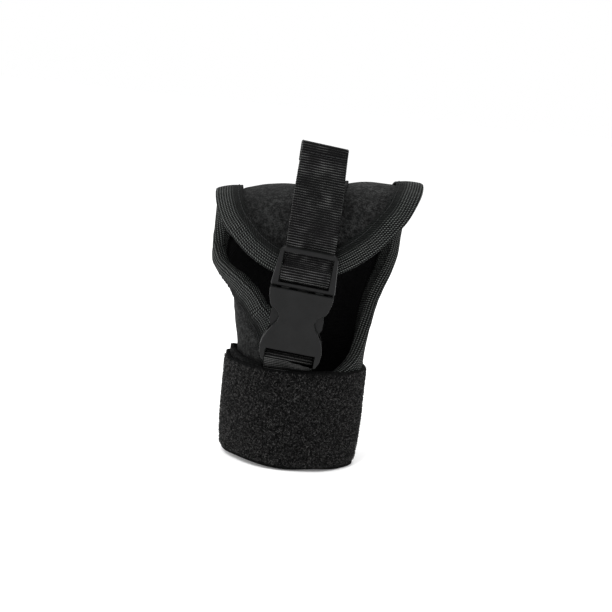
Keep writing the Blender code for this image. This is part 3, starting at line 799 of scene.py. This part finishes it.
def ribbed_strip(name, points, wall_thickness, columns):
    """A strip whose rows are carried along its middle line at an eighth of a rib, and lifted by a
    rib wave: the root of half of one plus a cosine, which has round crests and narrow valleys."""
    middle = points[:, points.shape[1] // 2]
    run = run_of(middle)
    wanted = np.arange(0, run[-1], RIB_PITCH / 8)
    lanes = [[np.interp(wanted, run, points[:, j, k]) for k in range(3)] for j in range(points.shape[1])]
    fine = np.moveaxis(np.stack(lanes), (0, 1, 2), (1, 2, 0))
    share = np.linspace(0, 1, columns)
    given = np.linspace(0, 1, points.shape[1])
    at = np.clip(np.searchsorted(given, share, side="right") - 1, 0, len(given) - 2)
    part = ((share - given[at]) * (len(given) - 1))[None, :, None]
    fine = fine[:, at] * (1 - part) + fine[:, at + 1] * part
    wave = np.sqrt(0.5 + 0.5 * np.cos(2 * math.pi * wanted / RIB_PITCH))[:, None]
    centre = fine.mean(1, keepdims=True)
    fine = centre + (fine - centre) * (0.985 + 0.022 * wave[..., None])
    lift = (RIB_HEIGHT * (wave - 0.6))[..., None]
    u = np.tile((share - 0.5) * WEB_WIDTH, (len(wanted), 1))
    v = np.tile(wanted[:, None], (1, columns))
    made = grid_piece(name, fine + normals_of(fine) * lift, np.stack([u, v], axis=-1), ribbed_webbing)
    print(name, "length:", round(float(run[-1]), 4), "m")
    return wall(made, wall_thickness - RIB_HEIGHT, 0)


def buckle_matrix():
    """The buckle's place: its length leans with the strap, and its front tips towards the viewer."""
    turn = Euler((BUCKLE_PITCH, BUCKLE_LEAN, 0), "XYZ").to_matrix().to_4x4()
    return Matrix.Translation(BUCKLE_CENTRE) @ turn


def from_buckle(out, up, front):
    """Points given across, up and towards the front of the buckle, in the glove's frame."""
    local = np.stack(np.broadcast_arrays(out, -np.asarray(front), up), axis=-1)
    matrix = np.array(buckle_matrix())
    return local @ matrix[:3, :3].T + matrix[:3, 3]


# %% The pull strap
def pull_strap_points():
    """The strap's middle: sewn on the flap, down behind the frame, round its bar and up as a tail
    that stops short of its tip; folded_tip turns the tip back."""
    across = np.linspace(-0.5, 0.5, 9)
    along = np.linspace(SEWN_START, SEWN_END, 160)[:, None]
    middle = np.interp(along, (SEWN_START, SEWN_END), (SEWN_OFFSET, FREE_OFFSET)) / FIST_HALF_WIDTH
    place = across_at(middle + across[None] * WEB_WIDTH / FIST_HALF_WIDTH)
    slant = across[None] * WEB_WIDTH * math.sin(FIST_TILT + BUCKLE_LEAN) / PANEL_LENGTH
    point, _, _, normal = panel_frame(place, along + slant)
    sewn = point + normal * (WEB_GAP + WEB_WALL / 2)
    key, fine = np.linspace(0, 1, len(THREADING)), np.linspace(0, 1, 300)
    up = smooth(fine, key, THREADING[:, 0]) * FRAME_LENGTH
    front = smooth(fine, key, THREADING[:, 1]) * FRAME_THICKNESS
    threaded = from_buckle(across[None] * WEB_WIDTH, up[:, None], front[:, None])
    rise = np.linspace(0, 1, 60)[1:, None]
    turn = TAIL_TWIST * ease(rise, 0.2, 1.0)
    place = WEB_WIDTH * across[None]
    tail_up = up[-1] + (TAIL_LENGTH - TIP_BEND - place * math.tan(TAIL_SLANT)) * rise
    fall = TAIL_LENGTH * TAIL_FALL * rise * (TAIL_START_SLOPE + (1 - TAIL_START_SLOPE) * rise)
    tail_front = front[-1] - fall - place * np.sin(turn)
    tail = from_buckle(place * np.cos(turn) - TAIL_DRIFT * rise, tail_up, tail_front)
    return np.concatenate([sewn, threaded, tail])


def folded_tip(points):
    """Turns the strip's end back behind itself: half a circle, then a short run down."""
    way = unit(points[-1] - points[-4])
    back = normals_of(points)[-1] * WEB_WALL * 0.62
    centre = points[-1] + back
    turn = np.linspace(0, math.pi, 14)[1:, None, None]
    bend = centre - back * np.cos(turn) + way * np.linalg.norm(back, axis=-1)[:, None] * np.sin(turn)
    down = bend[-1] - way * np.linspace(0, 0.0085, 24)[1:, None, None]
    return np.concatenate([points, bend, down])


pull_strap = ribbed_strip("pull_webbing", folded_tip(pull_strap_points()), WEB_WALL, 33)
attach(pull_strap, "root")
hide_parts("pull_strap")
print("pull strap faces:", len(pull_strap.data.polygons))


# %% The anchor loop
def anchor_points():
    """From under the wrist strap, up behind the socket's foot, over its bar and down again."""
    across = np.linspace(-0.5, 0.5, 9)[None, :]
    front_face, back_face = -BAR_SET_BACK * SOCKET_THICKNESS, -0.5 * SOCKET_THICKNESS
    clear = 1.6 * WEB_GAP + ANCHOR_WALL / 2
    ring = np.linspace(-2.0, 2.0, 60)[:, None]
    up = -SOCKET_LENGTH + SLOT_BAR / 2 + (SLOT_BAR / 2 + clear) * np.cos(ring)
    front = (front_face + back_face) / 2 - ((front_face - back_face) / 2 + clear) * np.sin(ring)
    wrapped = from_buckle(across * WEB_WIDTH, up, front)
    top = STRAP_CENTRE + STRAP_WIDTH / 2
    offset = from_buckle(0.0, -SOCKET_LENGTH, 0.0)[0]
    legs = []
    for layer, depth in ((1, ANCHOR_DEPTH), (0, ANCHOR_DEPTH * 0.6)):
        height = top + WEB_GAP - depth * np.linspace(1, 0, 24)[:, None] + 0 * across
        lift = BINDING_WALL + 2 * BINDING_GAP + ANCHOR_WALL / 2 + layer * (ANCHOR_WALL + WEB_GAP)
        x = offset + across * WEB_WIDTH + 0 * height
        share = np.clip(x / (WRIST_HALF_WIDTH + lift), -1, 1)
        legs.append(np.stack([x, -(WRIST_HALF_DEPTH + lift) * np.sqrt(1 - share * share), height], axis=-1))
    return np.concatenate([legs[0], wrapped, legs[1][::-1]])


anchor = ribbed_strip("anchor_webbing", anchor_points(), ANCHOR_WALL, 25)
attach(anchor, "root")
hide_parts("anchor_loop")

# %% [markdown]
# The tail's tip is turned back on itself and sewn across, so that it can't slip out of the frame.

# %% Stitches across the tip
TIP_SEAM = 0.0046
tip_points = pull_strap_points()
tip_run = run_of(tip_points[:, 4])
tip_row = np.searchsorted(tip_run, tip_run[-1] - TIP_SEAM)
tip_share = np.linspace(0.9, 7.1, 8)
tip_lanes = [np.interp(tip_share, np.arange(9), tip_points[tip_row, :, k]) for k in range(3)]
tip_places = np.stack(tip_lanes, axis=-1)
tip_up = np.tile(-normals_of(tip_points)[tip_row, 4], (len(tip_places), 1))
tip_way = np.tile(unit(tip_points[tip_row, 8] - tip_points[tip_row, 0]), (len(tip_places), 1))
tip_front = tip_places + tip_up * (WEB_WALL / 2 + 0.0002)
tip_stitches = stitches("tip_stitches", tip_front, tip_way, tip_up, 0.0022, 0.0005, thread)
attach(tip_stitches, "root")
print("stitches across the tip:", len(tip_front))

# %% [markdown]
# ## The buckle
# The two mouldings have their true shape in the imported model. A moulding is never quite sharp, so
# each is merged into one skin here and its edges are rounded, and the rounded edges catch the light.


# %% The two mouldings
EDGE_ROUNDING = 0.0003
EDGE_ANGLE = math.radians(32)


def moulding(node, name):
    """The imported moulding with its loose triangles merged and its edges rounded."""
    source = nodes[node]
    mesh = source.data.copy()
    mesh.transform(source.matrix_world)
    work = bmesh.new()
    work.from_mesh(mesh)
    bmesh.ops.remove_doubles(work, verts=work.verts, dist=1e-6)
    bmesh.ops.dissolve_limit(work, angle_limit=math.radians(1), verts=work.verts, edges=work.edges)
    bmesh.ops.recalc_face_normals(work, faces=work.faces)
    work.to_mesh(mesh)
    work.free()
    mesh.materials.clear()
    mesh.materials.append(satin_plastic)
    made = bpy.data.objects.new(name, mesh)
    bpy.context.scene.collection.objects.link(made)
    rounded = made.modifiers.new("rounded_edges", "BEVEL")
    rounded.width, rounded.segments = EDGE_ROUNDING, 2
    rounded.limit_method, rounded.angle_limit = "ANGLE", EDGE_ANGLE
    rounded.use_clamp_overlap = True
    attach(made, "root")
    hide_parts(node)
    return made


frame_moulding = moulding("buckle_frame", "frame_moulding")
socket_moulding = moulding("buckle_socket", "socket_moulding")
print("moulding faces:", len(frame_moulding.data.polygons), len(socket_moulding.data.polygons))

# %% [markdown]
# ## Camera, floor and light
# The camera stands where the picture's was taken from: a little above the cuff, three quarters of
# a metre away, and rolled by six degrees. The light is soft and from the upper left.

# %% Camera
roll, dip = math.radians(6), math.radians(9.5)
forward = Vector((0, math.cos(dip), -math.sin(dip)))
level_up = Vector((0, math.sin(dip), math.cos(dip)))
right = math.cos(roll) * Vector((1, 0, 0)) + math.sin(roll) * level_up
up = -math.sin(roll) * Vector((1, 0, 0)) + math.cos(roll) * level_up
lens = bpy.data.cameras.new("camera")
lens.lens, lens.sensor_width, lens.sensor_fit = 84.7, 36, "HORIZONTAL"
camera = bpy.data.objects.new("camera", lens)
bpy.context.scene.collection.objects.link(camera)
turn = Matrix((right, up, -forward)).transposed().to_4x4()
camera.matrix_world = Matrix.Translation((0.0014, -0.7309, 0.1767)) @ turn
bpy.context.scene.camera = camera
bpy.context.scene.view_settings.view_transform = "Standard"

# %% Floor and lights
FLOOR_GAP = 0.0002


def pale_floor(half_width):
    """A flat pale floor just under the glove, white enough to meet the white studio far away."""
    floor_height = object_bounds()[0].z - FLOOR_GAP
    x = np.array([-half_width, half_width])
    points = np.stack(np.broadcast_arrays(x[:, None], x[None], floor_height), axis=-1)
    pale = bpy.data.materials.new("pale_floor")
    pale.use_nodes = True
    inputs = pale.node_tree.nodes["Principled BSDF"].inputs
    inputs["Base Color"].default_value = (0.9, 0.9, 0.9, 1)
    inputs["Roughness"].default_value = 0.9
    inputs["Emission Color"].default_value = (1, 1, 1, 1)
    inputs["Emission Strength"].default_value = 0.12
    return grid_piece("floor", points, np.zeros((2, 2, 2)), pale)


pale_floor(6.0)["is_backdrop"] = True

world = bpy.data.worlds.new("studio")
world.use_nodes = True
world.node_tree.nodes["Background"].inputs["Color"].default_value = (1, 1, 1, 1)
world.node_tree.nodes["Background"].inputs["Strength"].default_value = 1.0
bpy.context.scene.world = world


def soft_light(name, place, size, power):
    """A square light that looks at the glove's middle."""
    data = bpy.data.lights.new(name, "AREA")
    data.size, data.energy = size, power
    light = bpy.data.objects.new(name, data)
    bpy.context.scene.collection.objects.link(light)
    aim = Vector((0, 0, 0.06)) - Vector(place)
    light.matrix_world = Matrix.Translation(place) @ aim.to_track_quat("-Z", "Y").to_matrix().to_4x4()


soft_light("key", (-0.4, -0.9, 1.1), 0.4, 12)
soft_light("fill", (0.9, -0.9, 0.5), 0.6, 2)
soft_light("left edge", (-1.0, 0.05, 0.3), 0.4, 5)
soft_light("back", (0.2, 0.8, 0.9), 0.6, 4)
